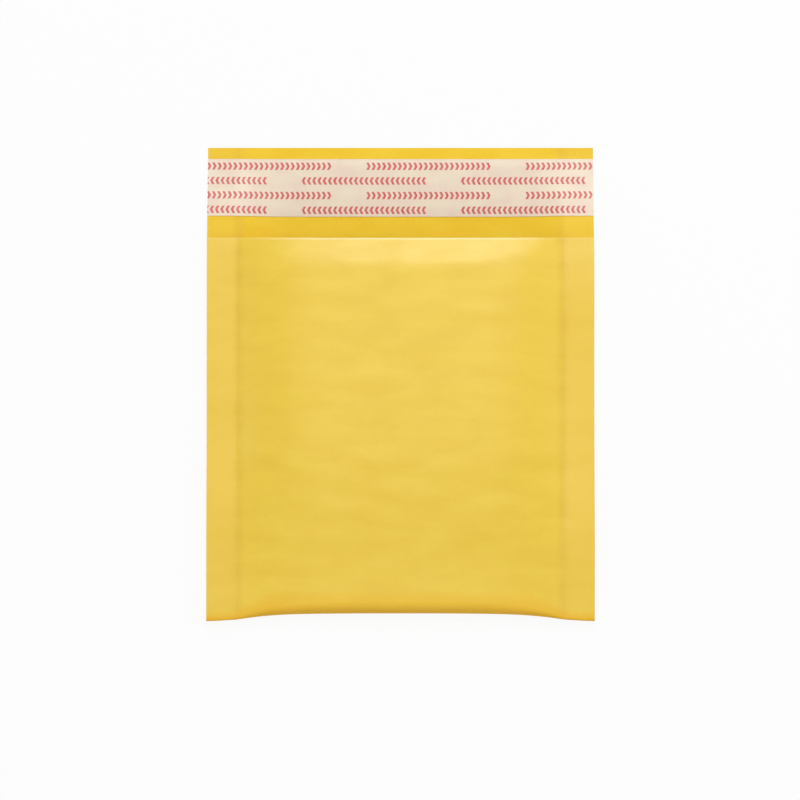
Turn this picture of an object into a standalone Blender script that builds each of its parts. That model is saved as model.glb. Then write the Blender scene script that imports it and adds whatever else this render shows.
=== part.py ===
"""A small padded mailer of yellow kraft paper, empty and unsealed, lying on its back.

Four pieces make it up. One sheet of paper runs from the front lip down the front panel, round the
bottom fold, up the back panel and on into the flap. One sheet of bubble film lines it and is heat
sealed down both sides. A strip of adhesive crosses the flap, under a release strip that peels off.

Each sheet is laid out flat first, u across it and v along it from the front lip, and is then folded.
Metres, with X across the mailer, Y from the bottom fold to the flap, Z up and the origin on the floor
under the middle.
"""

import math

import bmesh
import bpy
import numpy as np
from mathutils import Matrix, Vector
from mathutils.bvhtree import BVHTree

MM = 0.001
TINY = 1e-6
SLOPE_STEP = 1e-7  # how far apart two points lie that a slope is taken from

# The paper
BAG_WIDTH = 150 * MM
BAG_LENGTH = 148 * MM  # from the lip to the bottom fold, along the paper
SEAM_WIDTH = 11 * MM
PAPER_THICKNESS = 0.15 * MM

# The bubble film
FILM_THICKNESS = 0.40 * MM
FILM_SETBACK = 3 * MM  # from the lip, and from the foot of the flap
BUBBLE_DIAMETER = 10 * MM
BUBBLE_SHOULDER = 1.5 * MM  # how far a bubble's top is smaller than its foot, all round
BUBBLE_HEIGHT = 2.8 * MM
BUBBLE_SPACING = 2 * MM
BUBBLE_TO_MOUTH = 1 * MM
BUBBLE_TO_FOLD = 4 * MM
BUBBLE_TO_SEAM = 3 * MM
BUBBLE_SIDES = 6

# The closure, from the lip to the end of the flap
STRIP_TO_LIP = 8.6 * MM
STRIP_WIDTH = 22.5 * MM
STRIP_TO_END = 4.4 * MM
STRIP_THICKNESS = 0.10 * MM
ADHESIVE_THICKNESS = 0.10 * MM
ADHESIVE_MARGIN = 3 * MM  # how far the release strip covers past the adhesive

# The shape that it has swollen to, at the middle of its width
BODY_HEIGHT = 13 * MM
FOLD_HEIGHT = 9.4 * MM
SWELL_LENGTH = 60 * MM  # from the bottom fold to the full height
LIP_DROP = 1.6 * MM
LIP_CURL = 12 * MM  # the end of the front panel that curls down to the lip
BACK_SWELL = 30 * MM  # from a seam to where the back lies on the floor
FOLD_FULLNESS = 3.0  # how square the section is at the bottom fold, as a power
BODY_FULLNESS = 5.0
SEAM_EASE = 2 * MM  # the soft foot of the swelling, beside a seam
SEAM_LIFT = 4.6 * MM  # from the floor to the middle of a seam

# The gaps that keep touching sheets apart
LINING_GAP = 0.15 * MM
CLOSURE_GAP = 0.10 * MM
BUBBLE_CLEARANCE = 0.2 * MM  # from a squeezed bubble to the middle of the pocket

# How finely the sheets are divided
HALF_COLUMNS = 7
COLUMN_CROWDING = 1.7  # above 1, the columns crowd towards the seams
PANEL_ROWS = 7
FOLD_ROWS = 5
FOLD_CROWDING = 1.6  # above 1, the rows crowd towards the fold's middle

FLAP_LENGTH = STRIP_TO_LIP + STRIP_WIDTH + STRIP_TO_END
POCKET_HALF = BAG_WIDTH / 2 - SEAM_WIDTH
LINING_DEPTH = PAPER_THICKNESS + LINING_GAP
POCKET_DEPTH = LINING_DEPTH + FILM_THICKNESS  # from the outer face of the paper to the pocket
BUBBLE_SUNK = 0.6 * FILM_THICKNESS  # a bubble's foot stands just past the middle of the film
SEAM_HALF = POCKET_DEPTH  # a seam is as thick as the layers that it holds
SEAM_TAKE_UP = SEAM_HALF * (math.pi / 2 - 1)  # what the seams lose in length, folded round at the bottom
LIP_Y = (BAG_LENGTH - FLAP_LENGTH - SEAM_TAKE_UP) / 2
BOTTOM_Y = LIP_Y - BAG_LENGTH
FOLD_ROOT_Y = BOTTOM_Y + FOLD_HEIGHT / 2 * math.pi / 2  # where the fold ends and the panels begin
MIDDLE_V = BAG_LENGTH  # the line of the sheet that lies along the bottom fold
FLAP_V = 2 * BAG_LENGTH  # the foot of the flap


def smooth(share):
    """0 to 1, with level ends."""
    share = min(max(share, 0.0), 1.0)
    return share * share * (3 - 2 * share)


def swelling(u, reach, fullness):
    """How far a panel has swollen: 0 over the seams, 1 from that reach inside them."""
    inside = max(POCKET_HALF - abs(u), 0.0)
    eased = inside * inside / (inside + SEAM_EASE) * (reach + SEAM_EASE) / reach
    return 1 - max(1 - eased / reach, 0.0) ** fullness


def seam_height(y):
    """The middle of a seam, which sinks along the flap until the flap lies flat."""
    return SEAM_LIFT + (SEAM_HALF - SEAM_LIFT) * smooth((y - LIP_Y) / FLAP_LENGTH)


def front_height(u, y):
    risen = smooth((y - FOLD_ROOT_Y) / SWELL_LENGTH)
    curl = max(1 - (LIP_Y - y) / LIP_CURL, 0.0)
    crest = FOLD_HEIGHT + (BODY_HEIGHT - FOLD_HEIGHT) * risen - LIP_DROP * curl * curl
    foot = seam_height(y) + SEAM_HALF
    fullness = FOLD_FULLNESS + (BODY_FULLNESS - FOLD_FULLNESS) * risen
    return foot + (crest - foot) * swelling(u, POCKET_HALF, fullness)


def back_height(u, y):
    foot = seam_height(y) - SEAM_HALF
    return foot * (1 - swelling(u, BACK_SWELL, FOLD_FULLNESS))


def fold_at(u):
    """The bottom fold at u: its radius, and the y and z of its middle, where the panels begin."""
    top, bottom = front_height(u, BOTTOM_Y), back_height(u, BOTTOM_Y)
    radius = (top - bottom) / 2
    return radius, LIP_Y - BAG_LENGTH + radius * math.pi / 2, (top + bottom) / 2


def outer_face(u, v):
    """Where the point u, v of the flat sheet goes, on the outer face of the paper."""
    radius, root_y, middle = fold_at(u)
    past_root = v - (LIP_Y - root_y)
    if past_root <= 0:
        return np.array((u, LIP_Y - v, front_height(u, LIP_Y - v)))
    if past_root >= radius * math.pi:
        y = root_y + past_root - radius * math.pi
        return np.array((u, y, back_height(u, y)))
    angle = past_root / radius
    return np.array((u, root_y - radius * math.sin(angle), middle + radius * math.cos(angle)))


def inward(u, v):
    """The direction from the outer face of the paper straight into the mailer."""
    across = outer_face(u + SLOPE_STEP, v) - outer_face(u - SLOPE_STEP, v)
    along = outer_face(u, v + SLOPE_STEP) - outer_face(u, v - SLOPE_STEP)
    normal = np.cross(across, along)
    return normal / np.linalg.norm(normal)


def folded(u, v, depth):
    """The point u, v that far under the outer face. It stops at the middle, where the two sides meet."""
    point = outer_face(u, v) + inward(u, v) * depth
    if v >= FLAP_V:
        return Vector(point)
    x, y, z = point
    root_y = fold_at(x)[1]
    if v > LIP_Y - root_y and v < FLAP_V - (LIP_Y - root_y):
        y = min(y, root_y)
    y_there = max(y, root_y)
    middle = (front_height(x, y_there) + back_height(x, y_there)) / 2
    return Vector((x, y, max(z, middle) if v < MIDDLE_V else min(z, middle)))


def even(start, end, count):
    return [start + (end - start) * i / count for i in range(count + 1)]


def columns(half_width):
    """The lines along a sheet, crowded towards the inner edges of the seams."""
    right = [POCKET_HALF * (1 - (i / HALF_COLUMNS) ** COLUMN_CROWDING) for i in range(HALF_COLUMNS)]
    if half_width > POCKET_HALF:
        right.insert(0, half_width)
    return [-u for u in right] + [0.0] + right[::-1]


def fold_lines():
    widest = fold_at(0.0)[0] * math.pi / 2
    half = [widest * (i / FOLD_ROWS) ** FOLD_CROWDING for i in range(FOLD_ROWS, 0, -1)]
    return [MIDDLE_V - v for v in half] + [MIDDLE_V] + [MIDDLE_V + v for v in half[::-1]]


def bag_lines(setback):
    """The lines across the two panels, down the front and up the back, from that far below the lip."""
    fold = fold_lines()
    front = [setback, (setback + LIP_CURL) / 2] + even(LIP_CURL, fold[0], PANEL_ROWS)[:-1]
    return front + fold + [FLAP_V - v for v in front[::-1]]


def strip_lines():
    """The lines across the release strip. The adhesive lies between the second and the last but one."""
    near, far = FLAP_V + STRIP_TO_LIP, FLAP_V + STRIP_TO_LIP + STRIP_WIDTH
    return [near, near + ADHESIVE_MARGIN, (near + far) / 2, far - ADHESIVE_MARGIN, far]


def paper_lines():
    flap = [FLAP_V, FLAP_V + STRIP_TO_LIP / 2] + strip_lines() + [FLAP_V + FLAP_LENGTH]
    return [0.0] + bag_lines(FILM_SETBACK) + flap


def folded_grid(us, vs, depth):
    """A grid on these lines, folded at that depth, with its faces pointing out of the mailer."""
    bm = bmesh.new()
    bmesh.ops.create_grid(bm, x_segments=len(us) - 1, y_segments=len(vs) - 1, size=1)
    for vert in bm.verts:
        column = round((vert.co.x + 1) / 2 * (len(us) - 1))
        row = round((vert.co.y + 1) / 2 * (len(vs) - 1))
        vert.co = folded(us[column], vs[row], depth)
    bmesh.ops.reverse_faces(bm, faces=bm.faces)
    return bm


def close_bag(bm):
    """Closes a folded grid: its two sides, where they don't meet already, and its mouth, cut straight."""
    bmesh.ops.remove_doubles(bm, verts=bm.verts, dist=TINY)
    rim = [edge for edge in bm.edges if edge.is_boundary]
    half_width = max(vert.co.x for vert in bm.verts)
    walls = [[e for e in rim if min(side * v.co.x for v in e.verts) > half_width - TINY] for side in (-1, 1)]
    mouth = [edge for edge in rim if edge not in walls[0] + walls[1]]
    mouth_verts = {vert for edge in mouth for vert in edge.verts}
    mouth_y = max(vert.co.y for vert in mouth_verts)
    for vert in mouth_verts:
        vert.co.y = mouth_y
    for wall in filter(None, walls):
        corners = mouth_verts.intersection(vert for edge in wall for vert in edge.verts)
        mouth.append(bm.edges.new(corners))
        bmesh.ops.edgeloop_fill(bm, edges=wall + mouth[-1:])
    bmesh.ops.edgeloop_fill(bm, edges=mouth)
    bmesh.ops.recalc_face_normals(bm, faces=bm.faces)


def material(name, colour, roughness, alpha=1.0):
    made = bpy.data.materials.new(name)
    made.use_nodes = True
    shader = made.node_tree.nodes["Principled BSDF"]
    shader.inputs["Base Color"].default_value = (*colour, 1)
    shader.inputs["Roughness"].default_value = roughness
    shader.inputs["Metallic"].default_value = 0
    shader.inputs["Alpha"].default_value = alpha
    return made


def add_object(name, bm, collection, finish=None):
    mesh = bpy.data.meshes.new(name)
    bm.to_mesh(mesh)
    bm.free()
    made = bpy.data.objects.new(name, mesh)
    collection.objects.link(made)
    if finish:
        mesh.materials.append(finish)
    return made


def add_sheet(name, bm, thickness, collection, finish):
    """A folded grid given a thickness, inward from its outer face."""
    sheet = add_object(name, bm, collection, finish)
    wall = sheet.modifiers.new("thickness", "SOLIDIFY")
    wall.thickness = thickness
    wall.offset = -1
    wall.use_even_offset = True
    return sheet


def add_cutter(name, bm, collection):
    cutter = add_object(name, bm, collection)
    cutter.hide_render = True
    cutter.display_type = "WIRE"
    return cutter


def combine(target, operation, other):
    step = target.modifiers.new(other.name, "BOOLEAN")
    step.operation = operation
    step.solver = "EXACT"
    step.object = other


def bubble_spots():
    """The bubbles' centres on the front panel, u and v, in rows that are staggered by half a pitch."""
    pitch = BUBBLE_DIAMETER + BUBBLE_SPACING
    row_pitch = pitch * math.sqrt(3) / 2
    last_u = POCKET_HALF - BUBBLE_TO_SEAM - BUBBLE_DIAMETER / 2
    first_v = FILM_SETBACK + BUBBLE_TO_MOUTH + BUBBLE_DIAMETER / 2
    last_v = fold_lines()[0] - BUBBLE_TO_FOLD - BUBBLE_DIAMETER / 2
    for row in range(int((last_v - first_v) / row_pitch) + 1):
        shift = pitch / 2 * (row % 2)
        reach = int((last_u + shift) / pitch)
        for i in range(-reach, reach + 1):
            if abs(i * pitch - shift) <= last_u:
                yield i * pitch - shift, first_v + row * row_pitch


def room_over(u, v):
    """From the film to the middle of the pocket, at the side of a bubble that is nearer the seam."""
    edge = math.copysign(abs(u) + BUBBLE_DIAMETER / 2 - BUBBLE_SHOULDER, u)
    return (folded(edge, v, POCKET_DEPTH).z - folded(edge, FLAP_V - v, POCKET_DEPTH).z) / 2


def pair_of_bubbles(bm, film, u, v):
    """A bubble on the front panel at u, v and its fellow on the back, squeezed where room is short."""
    height = min(BUBBLE_HEIGHT, room_over(u, v) - BUBBLE_CLEARANCE)
    for at_v in (v, FLAP_V - v):
        middle, out_of_pocket, *_ = film.find_nearest(folded(u, at_v, POCKET_DEPTH))
        turn = (-out_of_pocket).to_track_quat("Z", "Y").to_matrix().to_4x4()
        bubble = bmesh.ops.create_cone(
            bm,
            cap_ends=True,
            segments=BUBBLE_SIDES,
            radius1=BUBBLE_DIAMETER / 2,
            radius2=BUBBLE_DIAMETER / 2 - BUBBLE_SHOULDER,
            depth=height,
            matrix=Matrix.Translation(middle - out_of_pocket * height / 2) @ turn,
        )["verts"]
        foot, crown = bubble[0::2], bubble[1::2]
        for low, high in zip(foot, crown):
            slant = (low.co - high.co) / height
            low.co = film.ray_cast(high.co, slant)[0] + slant * BUBBLE_SUNK
        sole = next(face for face in foot[0].link_faces if crown[0] not in face.verts)
        bmesh.ops.poke(bm, faces=[sole])["verts"][0].co = middle + out_of_pocket * BUBBLE_SUNK


def add_kraft_envelope(collection):
    paper = folded_grid(columns(BAG_WIDTH / 2), paper_lines(), 0.0)
    finish = material("yellow_kraft_paper", (0.80, 0.54, 0.08), 0.75)
    add_sheet("kraft_envelope", paper, PAPER_THICKNESS, collection, finish)


def add_bubble_liner(collection, cutters):
    """The film's outer face as a closed bag, less the pocket, with the bubbles standing in it."""
    bag = folded_grid(columns(BAG_WIDTH / 2), bag_lines(FILM_SETBACK), LINING_DEPTH)
    close_bag(bag)
    finish = material("clear_polythene", (0.85, 0.88, 0.90), 0.25, 0.5)
    liner = add_object("bubble_liner", bag, collection, finish)
    pocket = folded_grid(columns(POCKET_HALF), bag_lines(0.0), POCKET_DEPTH)
    close_bag(pocket)
    film = BVHTree.FromBMesh(pocket)
    combine(liner, "DIFFERENCE", add_cutter("pocket", pocket, cutters))
    bubbles = bmesh.new()
    for u, v in bubble_spots():
        pair_of_bubbles(bubbles, film, u, v)
    combine(liner, "UNION", add_cutter("bubbles", bubbles, cutters))


def add_closure(collection):
    """The adhesive on the flap, and the release strip that covers it."""
    across, along = columns(BAG_WIDTH / 2), strip_lines()
    adhesive_depth = PAPER_THICKNESS + CLOSURE_GAP
    adhesive = folded_grid(across, along[1:-1], adhesive_depth)
    finish = material("hot_melt_adhesive", (0.80, 0.70, 0.40), 0.3, 0.6)
    add_sheet("adhesive_strip", adhesive, ADHESIVE_THICKNESS, collection, finish)
    strip = folded_grid(across, along, adhesive_depth + ADHESIVE_THICKNESS + CLOSURE_GAP)
    finish = material("siliconised_paper", (0.87, 0.74, 0.55), 0.35)
    add_sheet("release_liner", strip, STRIP_THICKNESS, collection, finish)


def main():
    for old in list(bpy.data.objects):
        bpy.data.objects.remove(old)
    parts = bpy.data.collections.new("bubble_mailer")
    cutters = bpy.data.collections.new("cutters")
    for collection in (parts, cutters):
        bpy.context.scene.collection.children.link(collection)
    add_kraft_envelope(parts)
    add_bubble_liner(parts, cutters)
    add_closure(parts)


main()
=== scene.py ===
# %% [markdown]
# # A small padded mailer, modelled sheet by sheet
#
# A padded mailer is two sheets folded once. Yellow kraft paper makes the outside and the flap, and
# bubble film lines it. Both are sealed together down the two sides, and the flap carries a band of
# adhesive under a release strip. The mailer lies empty on its back, with its flap open.
#
# The measured frame comes first. It says where each sheet lies, and this file only gives the sheets
# their true surfaces and finishes.

# %% Load the measured frame
import math

import bpy
import numpy as np
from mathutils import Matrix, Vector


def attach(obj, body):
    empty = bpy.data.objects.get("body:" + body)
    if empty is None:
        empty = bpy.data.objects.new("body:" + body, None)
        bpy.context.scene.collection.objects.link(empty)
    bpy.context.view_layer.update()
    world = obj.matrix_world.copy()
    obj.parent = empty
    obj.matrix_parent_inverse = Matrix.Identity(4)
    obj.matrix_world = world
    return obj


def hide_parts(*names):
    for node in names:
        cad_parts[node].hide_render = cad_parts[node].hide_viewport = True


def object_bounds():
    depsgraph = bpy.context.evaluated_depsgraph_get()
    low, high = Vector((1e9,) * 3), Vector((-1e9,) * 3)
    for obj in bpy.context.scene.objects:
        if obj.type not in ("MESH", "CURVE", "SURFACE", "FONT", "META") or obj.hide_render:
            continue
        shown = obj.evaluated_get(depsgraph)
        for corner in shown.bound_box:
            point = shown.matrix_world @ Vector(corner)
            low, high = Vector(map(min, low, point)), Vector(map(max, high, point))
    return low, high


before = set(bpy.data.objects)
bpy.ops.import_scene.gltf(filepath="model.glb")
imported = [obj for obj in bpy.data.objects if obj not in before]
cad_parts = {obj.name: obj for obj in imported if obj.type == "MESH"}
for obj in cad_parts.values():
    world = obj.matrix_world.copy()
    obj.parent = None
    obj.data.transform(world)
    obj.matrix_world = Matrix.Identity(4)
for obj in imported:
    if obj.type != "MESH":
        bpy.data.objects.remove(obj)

CAD_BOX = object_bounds()
CAD_LOW, CAD_HIGH = (np.array(corner) for corner in CAD_BOX)
print("frame box in mm:", np.round((CAD_HIGH - CAD_LOW) * 1000, 1), "nodes:", sorted(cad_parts))

# %% [markdown]
# ## Sizes
#
# Paper and film are cut flat, so they are easiest to think of flat. Here u runs across a sheet from
# its middle and v runs along it from the front lip, down the front, up the back and out along the
# flap. Only the outer sizes come from the frame, and the rest are the maker's own: seam, setback,
# strip and bubble.

# %% The mailer's sizes, in metres
MM = 0.001
PAPER, FILM = 0.15 * MM, 0.40 * MM
LINING_GAP, CLOSURE_GAP = 0.15 * MM, 0.10 * MM
STRIP, ADHESIVE = 0.10 * MM, 0.10 * MM
SEAM_WIDTH = 11 * MM
STRIP_TO_LIP, STRIP_WIDTH, STRIP_TO_END = 8.6 * MM, 22.5 * MM, 4.4 * MM
ADHESIVE_MARGIN = 3 * MM
FILM_SETBACK = 3 * MM

LINING_DEPTH = PAPER + LINING_GAP
POCKET_DEPTH = LINING_DEPTH + FILM
SEAM_HALF = POCKET_DEPTH
FLAP_LENGTH = STRIP_TO_LIP + STRIP_WIDTH + STRIP_TO_END
HALF_WIDTH = (CAD_HIGH[0] - CAD_LOW[0]) / 2
POCKET_HALF = HALF_WIDTH - SEAM_WIDTH
BODY_HEIGHT = CAD_HIGH[2]
LIP_Y = CAD_HIGH[1] - FLAP_LENGTH
BOTTOM_Y = CAD_LOW[1] - SEAM_HALF * (math.pi / 2 - 1)
BAG_LENGTH = LIP_Y - BOTTOM_Y
FLAP_V = 2 * BAG_LENGTH

FOLD_HEIGHT = 9.4 * MM
SWELL_LENGTH = 60 * MM
LIP_DROP, LIP_CURL = 2.6 * MM, 14 * MM
BACK_SWELL = 30 * MM
FOLD_FULLNESS, BODY_FULLNESS = 3.0, 5.0
SEAM_EASE = 3.2 * MM
SEAM_LIFT = 4.6 * MM
CORNER_REACH, CORNER_WIDTH, CORNER_RUN = 0.7 * MM, 16 * MM, 50 * MM
LIP_PULL, LIP_RUN, LIP_SPREAD = 0.55 * MM, 40 * MM, 40 * MM
FLAP_SETTLES = 6 * MM
FOLD_ARC = FOLD_HEIGHT / 2 * math.pi / 2
FOLD_ROOT_Y = BOTTOM_Y + FOLD_ARC
print(f"paper cut to {2000 * HALF_WIDTH:.1f} x {1000 * (FLAP_V + FLAP_LENGTH):.1f} mm")

# %% [markdown]
# ## How paper swells and puckers
#
# The seams hold the two panels flat together and the padding pushes them apart, so each panel rises
# steeply beside a seam and is nearly level in the middle. Paper can't stretch, so it gathers there
# in short puckers that run in from the seam. A smooth loft would look like moulded plastic: the
# puckers, and a faint unevenness all over, are what say paper. Both are sums of simple waves and
# bumps, so the same formula serves the paper, the film and the strips, and none can cross another.

# %% Waves and puckers
rng = np.random.default_rng(8417)


def make_waves(count, shortest, longest, flatness):
    """Seeded sine waves. Each has a direction, mostly along the sheet, a length and a phase."""
    length = rng.uniform(shortest, longest, count)
    tilt = rng.normal(math.pi / 2, flatness, count)
    return np.cos(tilt) / length, np.sin(tilt) / length, rng.uniform(0, 1, count)


def wave_sum(waves, a, b):
    """The mean of the waves at a, b, scaled so that its usual size is 1."""
    total = np.zeros(np.broadcast(a, b).shape)
    for kx, ky, phase in zip(*waves):
        total += np.sin(2 * math.pi * (kx * a + ky * b + phase))
    return total / math.sqrt(len(waves[0]) / 2)


def make_puckers(count, start, end):
    """Seeded puckers down one seam: place, width, depth and slant of each."""
    place = np.linspace(start, end, count) + rng.uniform(-4, 4, count) * MM
    width = rng.uniform(1.8, 4.2, count) * MM
    depth = rng.uniform(0.02, 0.16, count) * MM
    return place, width, depth, rng.uniform(-0.5, 0.5, count)


def pucker_sum(puckers, inside, y):
    """Each pucker is a bell across its own line. It deepens to PUCKER_REACH from the seam and fades."""
    total = np.zeros(np.broadcast(inside, y).shape)
    for place, width, depth, slant in zip(*puckers):
        total += depth * np.exp(-(((y - place - slant * inside) / width) ** 2))
    return total * inside / PUCKER_REACH * np.exp(1 - inside / PUCKER_REACH)


PUCKER_REACH = 4.5 * MM
PANEL_WAVES = {side: make_waves(30, 9 * MM, 34 * MM, 0.28) for side in ("front", "back")}
SEAM_WAVES = {side: make_waves(5, 45 * MM, 110 * MM, 0.01) for side in (-1, 1)}
PUCKERS = {
    (panel, side): make_puckers(13, BOTTOM_Y + 6 * MM, LIP_Y - 6 * MM)
    for panel in ("front", "back")
    for side in (-1, 1)
}
PANEL_UNEVENNESS, FADE_TO_FOLD, FADE_TO_SEAM = 0.05 * MM, 12 * MM, 14 * MM
SEAM_WANDER = 0.30 * MM
print("puckers:", sum(len(p[0]) for p in PUCKERS.values()))

# %% [markdown]
# ## The outer face of the paper
#
# `outer_face` is the whole mailer in one formula: front panel, bottom fold and back panel with its
# flap, joined without a step. Every other surface is that one moved inwards along its normal.

# %% The folded surface


def smooth(share):
    """Three squares less two cubes of the share, held between 0 and 1: a step with level ends."""
    share = np.clip(share, 0, 1)
    return share**2 * (3 - 2 * share)


def inside_seam(u):
    """How far inside the nearer seam, and 0 over it."""
    return np.maximum(POCKET_HALF - np.abs(u), 0)


def swelling(u, reach, fullness):
    """0 over the seams and 1 from that reach inside them: one less a power of what is left to rise."""
    inside = inside_seam(u)
    eased = inside**2 / (inside + SEAM_EASE) * (reach + SEAM_EASE) / reach
    return 1 - np.maximum(1 - eased / reach, 0) ** fullness


def seam_height(u, y):
    """The seam's middle: level but for a slow wander, sinking along the flap to lie flat at its end."""
    y_held = np.maximum(y, FOLD_ROOT_Y)
    wander = np.where(u < 0, wave_sum(SEAM_WAVES[-1], 0, y_held), wave_sum(SEAM_WAVES[1], 0, y_held))
    lifted = SEAM_LIFT + SEAM_WANDER * wander
    return lifted + (SEAM_HALF - lifted) * smooth((y - LIP_Y) / FLAP_LENGTH)


def relief(panel, u, y):
    """The unevenness of a panel, less its puckers. It dies out over the seams and towards the fold."""
    inside = inside_seam(u)
    left, right = (pucker_sum(PUCKERS[panel, side], inside, y) for side in (-1, 1))
    body = smooth((y - FOLD_ROOT_Y) / FADE_TO_FOLD)
    uneven = PANEL_UNEVENNESS * wave_sum(PANEL_WAVES[panel], u, y) * smooth(inside / FADE_TO_SEAM)
    return (uneven - np.where(u < 0, left, right)) * body


def front_height(u, y):
    """Foot plus swelling times the crest's rise. The crest grows from the fold and curls at the lip."""
    risen = smooth((y - FOLD_ROOT_Y) / SWELL_LENGTH)
    curl = np.maximum(1 - (LIP_Y - y) / LIP_CURL, 0)
    crest = FOLD_HEIGHT + (BODY_HEIGHT - FOLD_HEIGHT) * risen - LIP_DROP * curl**2
    foot = seam_height(u, y) + SEAM_HALF
    fullness = FOLD_FULLNESS + (BODY_FULLNESS - FOLD_FULLNESS) * risen
    return foot + (crest - foot) * swelling(u, POCKET_HALF, fullness) + relief("front", u, y)


def back_height(u, y):
    """The foot, less what the swelling has let down to the floor, where the paper lies flat."""
    foot = seam_height(u, y) - SEAM_HALF
    raised = 1 - swelling(u, BACK_SWELL, FOLD_FULLNESS)
    on_flap = smooth((y - LIP_Y) / FLAP_SETTLES)
    return foot * raised - relief("back", u, y) * raised * (1 - on_flap)


def fold_at(u):
    """The bottom fold's radius, and the y and z of its middle, from the two panels that it joins."""
    y = np.full(np.shape(u), BOTTOM_Y)
    top, bottom = front_height(u, y), back_height(u, y)
    radius = (top - bottom) / 2
    return radius, BOTTOM_Y + radius * math.pi / 2, (top + bottom) / 2


def outer_face(u, v):
    """Front panel, then half a circle of the fold's radius, then back panel and flap."""
    radius, root_y, middle = fold_at(u)
    past_root = v - (LIP_Y - root_y)
    angle = np.clip(past_root / radius, 0, math.pi)
    front_y = np.maximum(LIP_Y - v, root_y)
    back_y = np.maximum(root_y + past_root - radius * math.pi, root_y)
    on_front, on_back = past_root <= 0, past_root >= radius * math.pi
    y = np.where(on_front, front_y, np.where(on_back, back_y, root_y - radius * np.sin(angle)))
    z = np.where(on_front, front_height(u, front_y), middle + radius * np.cos(angle))
    z = np.where(on_back, back_height(u, back_y), z)
    return np.stack([u + 0 * y, y, z], axis=-1)


def inward(u, v, step=1e-6):
    """The unit normal that points into the mailer, from the slopes along u and v."""
    across = outer_face(u + step, v) - outer_face(u - step, v)
    along = outer_face(u, v + step) - outer_face(u, v - step)
    normal = np.cross(across, along)
    return normal / np.linalg.norm(normal, axis=-1, keepdims=True)


def drawn(u, v):
    """How far along Y: the swelling pulls the lip back, and the corners reach past the fold."""
    corner = 1 - smooth((HALF_WIDTH - np.abs(u)) / CORNER_WIDTH)
    near_fold = smooth(1 - np.abs(v - BAG_LENGTH) / CORNER_RUN)
    near_lip = smooth(1 - v / LIP_RUN)
    return -CORNER_REACH * corner * near_fold - LIP_PULL * swelling(u, LIP_SPREAD, 2.0) * near_lip


def folded(u, v, depth):
    """The point u, v moved inwards by depth, but no further than half way to the other panel."""
    point = outer_face(u, v) + inward(u, v) * np.asarray(depth)[..., None]
    x, y, z = point[..., 0], point[..., 1], point[..., 2]
    root_y = fold_at(x)[1]
    half = LIP_Y - root_y
    y = np.where((v > half) & (v < FLAP_V - half), np.minimum(y, root_y), y)
    y_there = np.clip(y, root_y, LIP_Y)
    middle = (front_height(x, y_there) + back_height(x, y_there)) / 2
    held = np.where(v < BAG_LENGTH, np.maximum(z, middle), np.minimum(z, middle))
    return np.stack([x, y + drawn(u, v), np.where(v < FLAP_V, held, z)], axis=-1)


# %% [markdown]
# ## From a formula to a mesh
#
# A sheet of paper is its outer face, its inner face and the cut edge round them. Both faces are the
# same grid at two depths, and the edge is a ribbon between their borders, so the mesh is closed and
# the edge can have a finish of its own.

# %% Mesh helpers


def crowded(start, end, count, crowding=1.0):
    """count + 1 places from start to end, drawn towards both ends by a power of the distance."""
    share = np.linspace(-1, 1, count + 1)
    return start + (end - start) * (1 + np.sign(share) * (1 - (1 - np.abs(share)) ** crowding)) / 2


def add_mesh(name, verts, face_arrays, uvs, slots=None):
    """Puts arrays into a mesh. Each corner of a face takes the u and v of its point as its UV."""
    mesh = bpy.data.meshes.new(name)
    mesh.from_pydata(verts.tolist(), [], [face for array in face_arrays for face in array.tolist()])
    corners = np.empty(len(mesh.loops), dtype=np.int32)
    mesh.loops.foreach_get("vertex_index", corners)
    layer = mesh.uv_layers.new(name="flat_sheet")
    layer.data.foreach_set("uv", uvs[corners].astype(np.float32).ravel())
    if slots is not None:
        mesh.polygons.foreach_set("material_index", slots.astype(np.int32))
    mesh.polygons.foreach_set("use_smooth", np.ones(len(mesh.polygons), dtype=bool))
    mesh.update()
    piece = bpy.data.objects.new(name, mesh)
    bpy.context.scene.collection.objects.link(piece)
    print(f"{name}: {len(mesh.vertices)} points, {len(mesh.polygons)} faces")
    return piece


def grid_faces(rows, columns):
    """The four corners of each cell of a grid of points that is stored row after row."""
    first = (np.arange(rows - 1)[:, None] * columns + np.arange(columns - 1)).ravel()
    return np.stack([first, first + 1, first + columns + 1, first + columns], axis=1)


def border(rows, columns):
    """The border points of such a grid, once round."""
    index = np.arange(rows * columns).reshape(rows, columns)
    return np.concatenate([index[0, :-1], index[:-1, -1], index[-1, :0:-1], index[:0:-1, 0]])


def add_sheet(name, us, vs, depth, thickness):
    """Outer grid, inner grid and edge ribbon, in slots 0, 1 and 2. The depth may change by row."""
    u, v = np.meshgrid(us, vs)
    depth = np.broadcast_to(np.reshape(depth, (-1, 1)), u.shape)
    outer = folded(u, v, depth).reshape(-1, 3)
    inner = folded(u, v, depth + thickness).reshape(-1, 3)
    count = len(outer)
    cells = grid_faces(*u.shape)
    ring = border(*u.shape)
    after = np.roll(ring, -1)
    ribbon = np.stack([ring, after, after + count, ring + count], axis=1)
    faces = [cells[:, ::-1], cells + count, ribbon]
    slots = np.repeat([0, 1, 2], [len(array) for array in faces])
    flat = np.stack([u.ravel(), v.ravel()], axis=1)
    piece = add_mesh(name, np.concatenate([outer, inner]), faces, np.concatenate([flat, flat]), slots)
    piece.data.set_sharp_from_angle(angle=math.radians(50))
    return piece


# %% [markdown]
# ## The kraft envelope
#
# One sheet, cut 150 mm wide and about 331 mm long. The grid is finer round the bottom fold, whose
# radius is less than 1 mm where the seams pinch it, and beside the seams, where the paper puckers.

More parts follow.
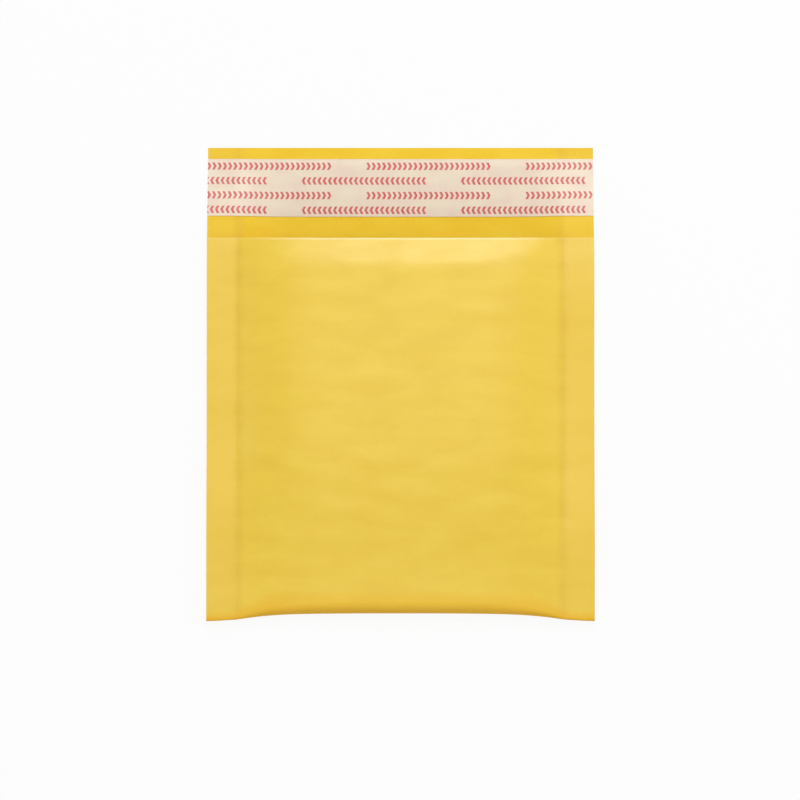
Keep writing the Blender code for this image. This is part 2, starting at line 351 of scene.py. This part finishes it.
# %% The paper sheet
fold_half = FOLD_ARC + 1 * MM
seam_lines = np.append(np.linspace(POCKET_HALF + 2 * MM, HALF_WIDTH - 2 * MM, 4), HALF_WIDTH)
pocket_lines = crowded(-POCKET_HALF, POCKET_HALF, 112, 1.35)
across = np.concatenate([-seam_lines[::-1], pocket_lines, seam_lines])
round_fold = np.linspace(-1, 1, 41)
fold_lines = BAG_LENGTH + fold_half * np.sign(round_fold) * np.abs(round_fold) ** 1.7
front_lines = crowded(0, BAG_LENGTH - fold_half, 104, 1.15)[:-1]
back_lines = FLAP_V - front_lines[::-1]
flap_lines = FLAP_V + np.linspace(0, FLAP_LENGTH, 25)[1:]
bag_lines = np.concatenate([front_lines, fold_lines, back_lines])
paper_v = np.concatenate([bag_lines, flap_lines])

kraft_envelope = add_sheet("folded_kraft_paper", across, paper_v, 0.0, PAPER)

# %% [markdown]
# ## The bubble film
#
# Bubble film is two films of polythene. One is drawn into cells over a perforated drum, and the
# other is laid flat over them and traps the air. The flat film lies against the paper and the cells
# face the goods. Each cell is a low dome with a nearly flat crown and steep sides, and the cells
# stand in staggered rows. Cells beside a seam are squeezed by the opposite panel.

# %% The flat film
FILM_SKIN, FIRST_LINE = FILM - 0.02 * MM, 0.4 * MM
from_lips = np.minimum(bag_lines, FLAP_V - bag_lines)
film_v = bag_lines[from_lips > FILM_SETBACK + FIRST_LINE]
film_v = np.concatenate([[FILM_SETBACK], film_v, [FLAP_V - FILM_SETBACK]])
flat_film = add_sheet("flat_polythene_film", across[::2], film_v[::2], LINING_DEPTH, FILM_SKIN)

# %% The air cells
BUBBLE_RADIUS, BUBBLE_HEIGHT, BUBBLE_SPACING = 5 * MM, 2.9 * MM, 2 * MM
BUBBLE_TO_MOUTH, BUBBLE_TO_FOLD, BUBBLE_TO_SEAM = 1 * MM, 4 * MM, 3 * MM
BUBBLE_CLEARANCE, BUBBLE_SUNK, BUBBLE_SIDES = 0.25 * MM, 0.15 * MM, 12


def bubble_places():
    """Staggered rows, half a pitch apart by turns, as two arrays of u and v on the front panel."""
    pitch = 2 * BUBBLE_RADIUS + BUBBLE_SPACING
    first = FILM_SETBACK + BUBBLE_TO_MOUTH + BUBBLE_RADIUS
    last = BAG_LENGTH - FOLD_ARC - BUBBLE_TO_FOLD - BUBBLE_RADIUS
    rows = np.arange(first, last, pitch * math.sqrt(3) / 2)
    last_u = POCKET_HALF - BUBBLE_TO_SEAM - BUBBLE_RADIUS
    steps = np.arange(-20, 21) * pitch
    u = steps[None, :] + np.where(np.arange(len(rows)) % 2, pitch / 2, 0)[:, None]
    v = np.broadcast_to(rows[:, None], u.shape)
    keep = np.abs(u) <= last_u
    return u[keep], v[keep]


def dome_profile():
    """A cell's side from foot to crown: shares of its radius and height, steep below and flat above."""
    turn = np.linspace(0, math.pi / 2, 6)
    return np.cos(turn) ** 0.7, np.sin(turn) ** 0.8


def dome_faces(rings, sides):
    """One cell's faces: its walls, a fan round its crown and a fan that closes its foot."""
    index = np.arange(rings * sides).reshape(rings, sides)
    after = np.roll(index, -1, axis=1)
    crown, foot = rings * sides, rings * sides + 1
    walls = np.stack([index[:-1], after[:-1], after[1:], index[1:]], -1).reshape(-1, 4)
    top = np.stack([index[-1], after[-1], np.full(sides, crown)], -1)
    bottom = np.stack([after[0], index[0], np.full(sides, foot)], -1)
    return walls, top, bottom


def add_bubbles(name, u, v):
    """Rings of points about each cell's own axis, from its foot on the flat film up to its crown."""
    foot_depth = np.full(u.shape, POCKET_DEPTH - BUBBLE_SUNK)
    foot, normal = folded(u, v, foot_depth), inward(u, v)
    edge = np.copysign(np.abs(u) + BUBBLE_RADIUS * 0.75, u)
    room = np.abs(folded(edge, v, foot_depth) - folded(edge, FLAP_V - v, foot_depth))[:, 2] / 2
    height = np.minimum(BUBBLE_HEIGHT, room - BUBBLE_CLEARANCE)
    side = np.cross(normal, [0.0, 1.0, 0.0])
    side /= np.linalg.norm(side, axis=-1, keepdims=True)
    fore = np.cross(normal, side)
    wide, high = dome_profile()
    turn = np.linspace(0, 2 * math.pi, BUBBLE_SIDES, endpoint=False)
    out = [BUBBLE_RADIUS * wide[:-1, None] * wave(turn) for wave in (np.cos, np.sin)]
    walls = foot[:, None, None] + side[:, None, None] * out[0][..., None]
    walls = walls + fore[:, None, None] * out[1][..., None]
    walls = walls + normal[:, None, None] * (height[:, None] * high[:-1])[:, :, None, None]
    crown = foot + normal * height[:, None]
    each = np.concatenate([walls.reshape(len(u), -1, 3), crown[:, None], foot[:, None]], axis=1)
    shift = np.arange(len(u))[:, None, None] * each.shape[1]
    dome = dome_faces(len(wide) - 1, BUBBLE_SIDES)
    faces = [(part[None] + shift).reshape(-1, part.shape[1]) for part in dome]
    flat = np.repeat(np.stack([u, v], axis=1), each.shape[1], axis=0)
    return add_mesh(name, each.reshape(-1, 3), faces, flat)


places = bubble_places()
front_cells = add_bubbles("front_air_cells", *places)
back_cells = add_bubbles("back_air_cells", places[0], FLAP_V - places[1])

# %% [markdown]
# ## The closure
#
# The adhesive is a band of hot melt laid on the inner face of the flap. The release strip is glassine
# paper with a silicone coat, slit from a wide roll, so its edges are straight and it runs from one
# side of the flap to the other. Both follow the flap's own surface, and past the adhesive the strip's
# edges come down to the paper.

# %% Adhesive and release strip
adhesive_depth = PAPER + CLOSURE_GAP
strip_depth = adhesive_depth + ADHESIVE + CLOSURE_GAP
EDGE_DROP = ADHESIVE + 0.6 * CLOSURE_GAP
strip_v = FLAP_V + STRIP_TO_LIP + crowded(0, STRIP_WIDTH, 24, 1.4)
from_edge = np.minimum(strip_v - strip_v[0], strip_v[-1] - strip_v)
strip_depths = strip_depth - EDGE_DROP * (1 - smooth(from_edge / ADHESIVE_MARGIN))
adhesive_v = np.linspace(strip_v[0] + ADHESIVE_MARGIN, strip_v[-1] - ADHESIVE_MARGIN, 13)
adhesive_band = add_sheet("adhesive_band", across[1:-1], adhesive_v, adhesive_depth, ADHESIVE)
release_strip = add_sheet("release_strip", across, strip_v, strip_depths, STRIP)

# %% [markdown]
# ## Colours and nodes
#
# Colours are written as sRGB hex, the way a picture editor shows them, and one function turns them
# to the linear values that a shader mixes. One more function adds a node: its properties, the values
# of its sockets and what feeds them. The sums and products between nodes have a short form.

# %% Colour and node helpers


def linear(code):
    """Each channel of an sRGB hex colour, undone: a straight foot up to 0.04045, then a 2.4 power."""
    channels = [int(code[i : i + 2], 16) / 255 for i in (1, 3, 5)]
    return (*(c / 12.92 if c <= 0.04045 else ((c + 0.055) / 1.055) ** 2.4 for c in channels), 1.0)


def add_node(tree, kind, settings=None, values=None, links=None):
    """A node of that kind, with its settings, its sockets' values, and links from other sockets."""
    node = tree.nodes.new("ShaderNode" + kind)
    for name, value in (settings or {}).items():
        setattr(node, name, value)
    for socket, value in (values or {}).items():
        node.inputs[socket].default_value = value
    for socket, source in (links or {}).items():
        tree.links.new(source, node.inputs[socket])
    return node


def calculate(tree, operation, first, second=0.0, third=0.0):
    """A sum, product or other calculation. Each term is a number or a socket."""
    node = add_node(tree, "Math", {"operation": operation})
    for index, value in enumerate((first, second, third)):
        if isinstance(value, (int, float)):
            node.inputs[index].default_value = value
        else:
            tree.links.new(value, node.inputs[index])
    return node.outputs[0]


def new_material(name):
    """A material with its tree emptied, and the tree."""
    made = bpy.data.materials.new(name)
    made.use_nodes = True
    made.node_tree.nodes.clear()
    return made, made.node_tree


def finish_with(tree, shader):
    """Leads the shader to the material's output."""
    add_node(tree, "OutputMaterial", links={"Surface": shader.outputs[0]})


# %% [markdown]
# ## Kraft paper
#
# The sheet is machine-glazed kraft, dyed golden yellow. It was dried against a polished cylinder, so
# its outer face is smooth and takes a soft wide highlight, while its inner face, which shows on the
# flap, stays rough and looks deeper in colour. Three things are seen in such paper: clouds a
# centimetre across where the pulp lay thicker, long fibres that mostly run along the web, and a fine
# tooth. Real fibres are 0.03 mm wide and would vanish here, so they are drawn about 0.4 mm wide.
#
# Then come the marks. The side bands are darker and more orange than the panels, and that tone runs
# on over the slope inside each seam, where it is painted shade. A darker line along each seam's
# inner edge is painted shade in the crease there, and a pale line along the middle of the lip is a
# painted highlight. The band along the bottom fold is rougher, where the fold rubbed off the glaze,
# and its deeper colour is painted shade. Faint ribs run across the sheet, where the film behind it
# has shrunk a little.

# %% Kraft paper
CLOUD, FIBRE_WIDTH, FIBRE_LENGTH, TOOTH = 7 * MM, 0.4 * MM, 4 * MM, 0.35 * MM
FIBRE_TURNS = (0.1, 1.2, -0.9, 2.2)
# Painted light: the fold and crease tones are painted shade, the seam tone is painted shade where it
# runs over the slope, and the pale lip tone is a painted highlight.
FOLD_SHADE_TONE, SEAM_TONE_AND_SHADE, CREASE_SHADE_TONE, LIP_HIGHLIGHT_TONE = "#EAB01C", "#E6BD3A", "#CFA126", "#FFF0B4"
SLOPE_SHADE_REACH, LIP_HIGHLIGHT_REACH, LIP_HIGHLIGHT_FADE = 5 * MM, 0.9 * MM, 30 * MM
WORN_MIDDLE, WORN_SIDE, WORN_FADE = 12 * MM, 4 * MM, 14 * MM
CREASE_INSIDE, CREASE_REACH = 1.2 * MM, 3 * MM
RIB_LENGTH, RIB_WIDTH, RIB_HEIGHT = 26 * MM, 1.8 * MM, 0.05 * MM


def flat_pattern(tree, flat, wide, long, detail=2.0, turn=0.0, distortion=0.0):
    """Noise on the flat sheet. Its grain is that wide and long, in metres, and turned by an angle."""
    placed = add_node(
        tree, "Mapping", {"vector_type": "TEXTURE"},
        {"Scale": (wide, long, 1), "Rotation": (0, 0, turn)}, {"Vector": flat},
    )
    noise = add_node(
        tree, "TexNoise", {"noise_dimensions": "2D"},
        {"Scale": 1.0, "Detail": detail, "Distortion": distortion}, {"Vector": placed.outputs[0]},
    )
    return noise.outputs["Fac"]


def between(tree, factor, low, high, from_low=0.3, from_high=0.7):
    """The factor's stretch from from_low to from_high, spread over low to high."""
    return add_node(
        tree, "MapRange", {},
        {"From Min": from_low, "From Max": from_high, "To Min": low, "To Max": high}, {"Value": factor},
    ).outputs[0]


def mix(tree, factor, first, second):
    """Two colours mixed, all the second where the factor is 1. Each is a hex code or a socket."""
    node = add_node(tree, "Mix", {"data_type": "RGBA"}, {}, {0: factor})
    for index, colour in ((6, first), (7, second)):
        if isinstance(colour, str):
            node.inputs[index].default_value = linear(colour)
        else:
            tree.links.new(colour, node.inputs[index])
    return node.outputs[2]


def kraft_paper(name, body, thick, fibre, roughness, tooth_height):
    """One face of the sheet: body colour, the deeper colour of thick pulp, and that of a fibre."""
    made, tree = new_material(name)
    flat = add_node(tree, "UVMap", {"uv_map": "flat_sheet"}).outputs[0]
    clouds = flat_pattern(tree, flat, 2.6 * CLOUD, CLOUD, 4.0)
    tooth = flat_pattern(tree, flat, TOOTH, TOOTH, 2.0)
    fibres = flat_pattern(tree, flat, FIBRE_WIDTH, FIBRE_LENGTH, 1.0, FIBRE_TURNS[0], 0.8)
    for turn in FIBRE_TURNS[1:]:
        more = flat_pattern(tree, flat, FIBRE_WIDTH, FIBRE_LENGTH, 1.0, turn, 0.8)
        fibres = calculate(tree, "MAXIMUM", fibres, more)
    colour = mix(tree, between(tree, clouds, 0, 0.55), body, thick)
    colour = mix(tree, between(tree, fibres, 0, 0.16, 0.62, 0.80), colour, fibre)

    place = add_node(tree, "SeparateXYZ", links={0: flat}).outputs
    from_middle = calculate(tree, "ABSOLUTE", place["X"])
    from_fold = calculate(tree, "ABSOLUTE", calculate(tree, "SUBTRACT", place["Y"], BAG_LENGTH))
    # The side bands' darker, more orange tone. Where it runs on over the slope inside each seam it is
    # painted shade.
    sealed = between(tree, from_middle, 0, 0.3, POCKET_HALF - SLOPE_SHADE_REACH, POCKET_HALF - 0.5 * MM)
    colour = mix(tree, sealed, colour, SEAM_TONE_AND_SHADE)
    # Painted shade in the crease along each seam's inner edge, broken up by the clouds.
    past_crease = calculate(tree, "SUBTRACT", from_middle, POCKET_HALF - CREASE_INSIDE)
    crease_shade = between(tree, calculate(tree, "ABSOLUTE", past_crease), 0.28, 0, 0, CREASE_REACH)
    crease_shade = calculate(tree, "MULTIPLY", crease_shade, between(tree, clouds, 0.4, 1))
    colour = mix(tree, crease_shade, colour, CREASE_SHADE_TONE)
    # A painted highlight along the lip, strongest in its middle and faint near the seams.
    lip_highlight = between(tree, place["Y"], 0.6, 0, 0.1 * MM, LIP_HIGHLIGHT_REACH)
    mid_lip = between(tree, from_middle, 1, 0.15, POCKET_HALF - LIP_HIGHLIGHT_FADE, POCKET_HALF - 4 * MM)
    colour = mix(tree, calculate(tree, "MULTIPLY", lip_highlight, mid_lip), colour, LIP_HIGHLIGHT_TONE)
    # The band along the bottom fold: its deeper colour is painted shade, and its added roughness is the
    # glaze that the fold rubbed off.
    reach = between(tree, from_middle, WORN_MIDDLE, WORN_SIDE, POCKET_HALF - WORN_FADE, POCKET_HALF)
    worn = between(tree, calculate(tree, "DIVIDE", from_fold, reach), 1, 0, 0.2, 1.0)
    colour = mix(tree, between(tree, worn, 0, 0.85, 0, 1), colour, FOLD_SHADE_TONE)

    rough = between(tree, clouds, roughness - 0.04, roughness + 0.06)
    rough = calculate(tree, "MULTIPLY_ADD", worn, 0.45, rough)
    ribs = flat_pattern(tree, flat, RIB_LENGTH, RIB_WIDTH, 3.0, 0.0, 0.3)
    ribbed = add_node(tree, "Bump", {}, {"Strength": 0.5, "Distance": RIB_HEIGHT}, {"Height": ribs})
    bump = add_node(
        tree, "Bump", {}, {"Strength": 0.4, "Distance": tooth_height},
        {"Height": calculate(tree, "MULTIPLY_ADD", fibres, 0.6, tooth), "Normal": ribbed.outputs[0]},
    )
    shader = add_node(
        tree, "BsdfPrincipled", {}, {"IOR": 1.5, "Specular IOR Level": 0.62},
        {"Base Color": colour, "Roughness": rough, "Normal": bump.outputs[0]},
    )
    finish_with(tree, shader)
    return made


glazed_face = kraft_paper("glazed_kraft_face", "#EDCA3F", "#E4BE34", "#D9AE30", 0.36, 0.02 * MM)
rough_face = kraft_paper("rough_kraft_face", "#F1C81A", "#ECBF17", "#D5A52D", 0.70, 0.04 * MM)
cut_edge = kraft_paper("cut_kraft_edge", "#F6E29A", "#EFD37C", "#E3C46A", 0.85, 0.02 * MM)
for finish in (glazed_face, rough_face, cut_edge):
    kraft_envelope.data.materials.append(finish)

# %% [markdown]
# ## Polythene film and hot melt
#
# Clear polythene is soft and slightly milky, and here it has yellow paper on all sides. So the film
# is a glossy, half see-through skin with a faint haze, and its warm yellow is painted light: the
# yellow of the paper round it, seen through the film and thrown back onto it. Its sides, melted into
# the paper by the sealing bar, have gone pale and let no light through. The hot melt is a rubbery,
# honey-coloured band.

# %% Polythene film and hot melt


def soft_plastic(name, clear, hazy, roughness, alpha, haze_size, haze_height):
    """A plastic whose haze and gloss change in patches. Its alpha is the same all over."""
    made, tree = new_material(name)
    place = add_node(tree, "TexCoord").outputs["Object"]
    haze = add_node(
        tree, "TexNoise", {}, {"Scale": 1 / haze_size, "Detail": 3.0}, {"Vector": place}
    ).outputs["Fac"]
    bump = add_node(tree, "Bump", {}, {"Strength": 0.6, "Distance": haze_height}, {"Height": haze})
    shader = add_node(
        tree, "BsdfPrincipled", {}, {"IOR": 1.51, "Alpha": alpha},
        {
            "Base Color": mix(tree, between(tree, haze, 0, 1), clear, hazy),
            "Roughness": between(tree, haze, roughness, roughness + 0.12),
            "Normal": bump.outputs[0],
        },
    )
    finish_with(tree, shader)
    return made


# The warm yellow of the film and of the cells is painted light from the yellow paper round them.
film_finish = soft_plastic("clear_polythene", "#F6E6A4", "#FBF0C4", 0.14, 0.50, 6 * MM, 0.10 * MM)
cell_finish = soft_plastic("drawn_polythene", "#FAEBB0", "#FFF8DC", 0.08, 0.66, 2 * MM, 0.12 * MM)
hot_melt = soft_plastic("hot_melt_adhesive", "#E7D693", "#F0E6B8", 0.22, 0.80, 4 * MM, 0.08 * MM)
sealed = soft_plastic("sealed_polythene_edge", "#E6DFC4", "#F0EBD8", 0.40, 1.0, 3 * MM, 0.05 * MM)
for finish in (film_finish, film_finish, sealed):
    flat_film.data.materials.append(finish)
for finish in (hot_melt, hot_melt, hot_melt):
    adhesive_band.data.materials.append(finish)
for piece in (front_cells, back_cells):
    piece.data.materials.append(cell_finish)

# %% [markdown]
# ## The print on the release strip
#
# Such strips carry small red print that repeats along the roll, every other row turned about so that
# it reads from either side. Here it is a plain run of arrows that point along the strip, the way it
# is peeled. An arrow is where the distance along its cell, less a share of the height over its
# middle, lies within half a stroke. The print lies in the paper's own coordinates, so it bends with
# the strip.

# %% Release paper with its printed arrows
ROW_PITCH, ARROW_HEIGHT = 5.72 * MM, 2.9 * MM
RUN_PITCH, RUN_LENGTH, ARROW_PITCH = 62 * MM, 48.8 * MM, 2.03 * MM
FIRST_ROW = 2.5 * MM
EVEN_START, ODD_START = -38.6 * MM, -13.5 * MM
STROKE, SLANT = 1.0 * MM, 0.52


def printed_arrows(tree, flat):
    """1 where the ink is. Rows, runs and cells are remainders of the place on the strip."""
    place = add_node(tree, "SeparateXYZ", links={0: flat}).outputs
    up = calculate(tree, "SUBTRACT", place["Y"], float(strip_v[0]) + FIRST_ROW - ROW_PITCH / 2)
    row = calculate(tree, "FLOOR", calculate(tree, "DIVIDE", up, ROW_PITCH))
    high = calculate(tree, "SUBTRACT", calculate(tree, "WRAP", up, ROW_PITCH, 0.0), ROW_PITCH / 2)
    odd = calculate(tree, "MODULO", row, 2.0)
    start = calculate(tree, "MULTIPLY_ADD", odd, ODD_START - EVEN_START, EVEN_START)
    along = calculate(tree, "WRAP", calculate(tree, "SUBTRACT", place["X"], start), RUN_PITCH, 0.0)
    cell = calculate(tree, "WRAP", along, ARROW_PITCH, 0.0)
    cell = calculate(tree, "SUBTRACT", cell, ARROW_PITCH / 2)
    facing = calculate(tree, "MULTIPLY_ADD", odd, 2.0, -1.0)
    ahead = calculate(tree, "MULTIPLY", cell, facing)
    over = calculate(tree, "ABSOLUTE", high)
    behind = calculate(tree, "SUBTRACT", ahead, SLANT * ARROW_HEIGHT / 4)
    from_stroke = calculate(tree, "ABSOLUTE", calculate(tree, "MULTIPLY_ADD", over, SLANT, behind))
    in_stroke = calculate(tree, "LESS_THAN", from_stroke, STROKE / 2)
    in_row = calculate(tree, "LESS_THAN", over, ARROW_HEIGHT / 2)
    in_run = calculate(tree, "LESS_THAN", along, RUN_LENGTH)
    return calculate(tree, "MULTIPLY", calculate(tree, "MULTIPLY", in_stroke, in_row), in_run)


def release_paper(name, printed):
    """Glassine with faint blotches, and on its outer face the print, a little worn."""
    made, tree = new_material(name)
    flat = add_node(tree, "UVMap", {"uv_map": "flat_sheet"}).outputs[0]
    blotches = flat_pattern(tree, flat, 9 * MM, 6 * MM, 3.0)
    grain = flat_pattern(tree, flat, 0.5 * MM, 0.5 * MM, 2.0)
    colour = mix(tree, between(tree, blotches, 0, 1), "#E6D6BC", "#E3CDB9")
    if printed:
        wear = between(tree, grain, 0.72, 1.0, 0.35, 0.6)
        ink = calculate(tree, "MULTIPLY", printed_arrows(tree, flat), wear)
        colour = mix(tree, ink, colour, "#C22432")
    bump = add_node(tree, "Bump", {}, {"Strength": 0.3, "Distance": 0.02 * MM}, {"Height": grain})
    rough = between(tree, blotches, 0.38, 0.5)
    shader = add_node(
        tree, "BsdfPrincipled", {}, {"IOR": 1.5, "Coat Weight": 0.25, "Coat Roughness": 0.3},
        {"Base Color": colour, "Roughness": rough, "Normal": bump.outputs[0]},
    )
    finish_with(tree, shader)
    return made


plain_release = release_paper("silicone_release_face", False)
printed_release = release_paper("printed_release_face", True)
for finish in (plain_release, printed_release, plain_release):
    release_strip.data.materials.append(finish)

# %% [markdown]
# ## Which piece stands for which solid
#
# Each piece replaces the plain solid that holds its place in the frame, and that solid is hidden.

# %% Tie the pieces to the frame
for piece, node, slot in (
    (kraft_envelope, "kraft_envelope", "kraft_paper"),
    (flat_film, "bubble_liner", "bubble_film"),
    (front_cells, "bubble_liner", "bubble_film"),
    (back_cells, "bubble_liner", "bubble_film"),
    (adhesive_band, "adhesive_strip", "adhesive"),
    (release_strip, "release_liner", "release_paper"),
):
    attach(piece, "root")
    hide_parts(node)

# %% [markdown]
# ## Floor and light
#
# The mailer lies on white paper in a soft, bright studio. The floor is a plain white surface that is
# a little brighter to the camera than the light makes it, so it reads as white and still keeps the
# faint shadow under the edges. A broad lamp beyond the flap gives the lip its highlight and leaves
# the bottom fold darker. A weaker one overhead and three low fills round the sides lift the slopes,
# and the world fills in the rest.

# %% The floor
FLOOR_SIZE, FLOOR_DROP, FLOOR_WHITE = 6.0, 0.05 * MM, 0.92
bpy.ops.mesh.primitive_plane_add(size=FLOOR_SIZE, location=(0, 0, -FLOOR_DROP))
floor = bpy.context.object
floor.name = "studio_floor"


def seen_directly(tree):
    """1 for what is seen, also in a reflection or through film, and 0 for light on the object."""
    rays = add_node(tree, "LightPath").outputs
    seen = rays["Is Camera Ray"]
    for ray in ("Is Glossy Ray", "Is Transmission Ray"):
        seen = calculate(tree, "MAXIMUM", seen, rays[ray])
    return seen


floor_paper, tree = new_material("white_studio_paper")
share = calculate(tree, "MULTIPLY", seen_directly(tree), FLOOR_WHITE)
matt = add_node(tree, "BsdfDiffuse", {}, {"Color": linear("#EAEAEA")})
white = add_node(tree, "Emission", {}, {"Color": (1, 1, 1, 1), "Strength": 1.0})
floor_mix = add_node(tree, "MixShader", links={0: share, 1: matt.outputs[0], 2: white.outputs[0]})
finish_with(tree, floor_mix)
floor.data.materials.append(floor_paper)

# %% The world and the lamps
WORLD_LIGHT = 0.28
world = bpy.data.worlds.new("studio")
bpy.context.scene.world = world
world.use_nodes = True
tree = world.node_tree
tree.nodes.clear()
strength = between(tree, seen_directly(tree), WORLD_LIGHT, 1.0, 0.0, 1.0)
sky = add_node(tree, "Background", {}, {"Color": (1, 1, 1, 1)}, {"Strength": strength})
add_node(tree, "OutputWorld", links={"Surface": sky.outputs[0]})


def aim(thing, target):
    """Turns a lamp or camera, which look along their own -Z, to face the target."""
    toward = thing.location - type(thing.location)(target)
    thing.rotation_euler = toward.to_track_quat("Z", "Y").to_euler()


def add_softbox(name, place, size, power, target=(0, 0, 0)):
    """A square lamp of that side in metres and that power in watts, turned to the target."""
    lamp = bpy.data.lights.new(name, "AREA")
    lamp.shape, lamp.size, lamp.energy = "SQUARE", size, power
    softbox = bpy.data.objects.new(name, lamp)
    bpy.context.scene.collection.objects.link(softbox)
    softbox.location = place
    aim(softbox, target)
    return softbox


add_softbox("far_softbox", (0.18, 0.76, 1.04), 0.75, 8.8, (0, 0.03, 0))
add_softbox("overhead_softbox", (0, 0.1, 1.6), 1.00, 2.3)
fills = [
    add_softbox("fold_fill", (-0.15, -1.0, 0.45), 0.60, 2.4),
    add_softbox("left_fill", (-0.9, 0.05, 0.3), 0.50, 2.0),
    add_softbox("right_fill", (0.9, 0.25, 0.5), 0.50, 2.6),
]
for fill in fills:
    fill.visible_glossy = False  # a card that only lightens: it leaves no glare on the glazed paper

# %% [markdown]
# ## The camera
#
# The photograph looks straight down from about a metre, leaning a degree or two towards the bottom
# fold. The image is 800 pixels wide and shows 2.58 of them to a millimetre.

# %% The camera
CAMERA_DISTANCE, CAMERA_LEAN = 1.0, math.radians(1.5)
IMAGE_SIDE, PIXELS_PER_METRE = 800, 2580
AIM_POINT = np.array([-0.2 * MM, -6.8 * MM, 3 * MM])

lens = bpy.data.cameras.new("copy_stand_camera")
lens.lens = lens.sensor_width * CAMERA_DISTANCE * PIXELS_PER_METRE / IMAGE_SIDE
camera = bpy.data.objects.new("copy_stand_camera", lens)
bpy.context.scene.collection.objects.link(camera)
outlook = np.array([0, -math.sin(CAMERA_LEAN), math.cos(CAMERA_LEAN)])
camera.location = AIM_POINT + CAMERA_DISTANCE * outlook
aim(camera, AIM_POINT)
bpy.context.scene.camera = camera
bpy.context.scene.view_settings.view_transform = "Standard"
print(f"lens {lens.lens:.1f} mm")
